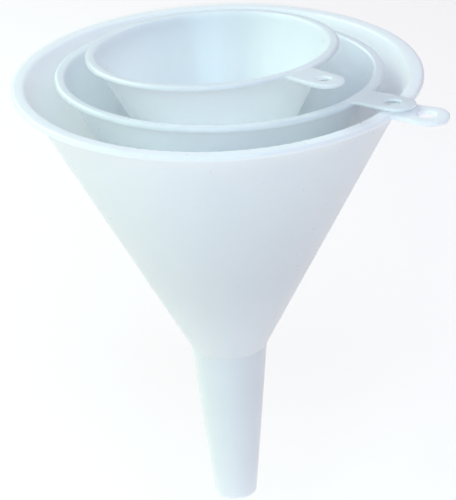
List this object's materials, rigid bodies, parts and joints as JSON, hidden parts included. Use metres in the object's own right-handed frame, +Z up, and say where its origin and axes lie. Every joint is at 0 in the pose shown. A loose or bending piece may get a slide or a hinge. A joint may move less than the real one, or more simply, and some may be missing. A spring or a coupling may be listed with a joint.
{
  "type": "nested funnel set",
  "caption": "Nested plastic laboratory funnels with beaded rims, tapered stems and hang tabs, for pouring liquids or powders into narrow-necked vessels; each inner funnel lifts out.",
  "frame": {"origin": "on the large funnel's axis at the top of its stem, where the cone begins", "axes": "+Z up the large funnel's axis towards its rim, +X along the large funnel's hang tab"},
  "size_m": [0.1346, 0.12, 0.1509],
  "materials": {
    "white_plastic": "satin, slightly translucent white polypropylene"
  },
  "bodies": {
    "large": {"large_funnel": "white_plastic"},
    "medium": {"medium_funnel": "white_plastic"},
    "small": {"small_funnel": "white_plastic"}
  },
  "joints": [
    {"name": "medium_lift", "type": "slide", "parent": "large", "child": "medium", "axis": [0, 0, 1], "range_m": [0, 0.12]},
    {"name": "small_lift", "type": "slide", "parent": "medium", "child": "small", "axis": [-0.0498, 0.0382, 0.998], "range_m": [0, 0.095]}
  ]
}
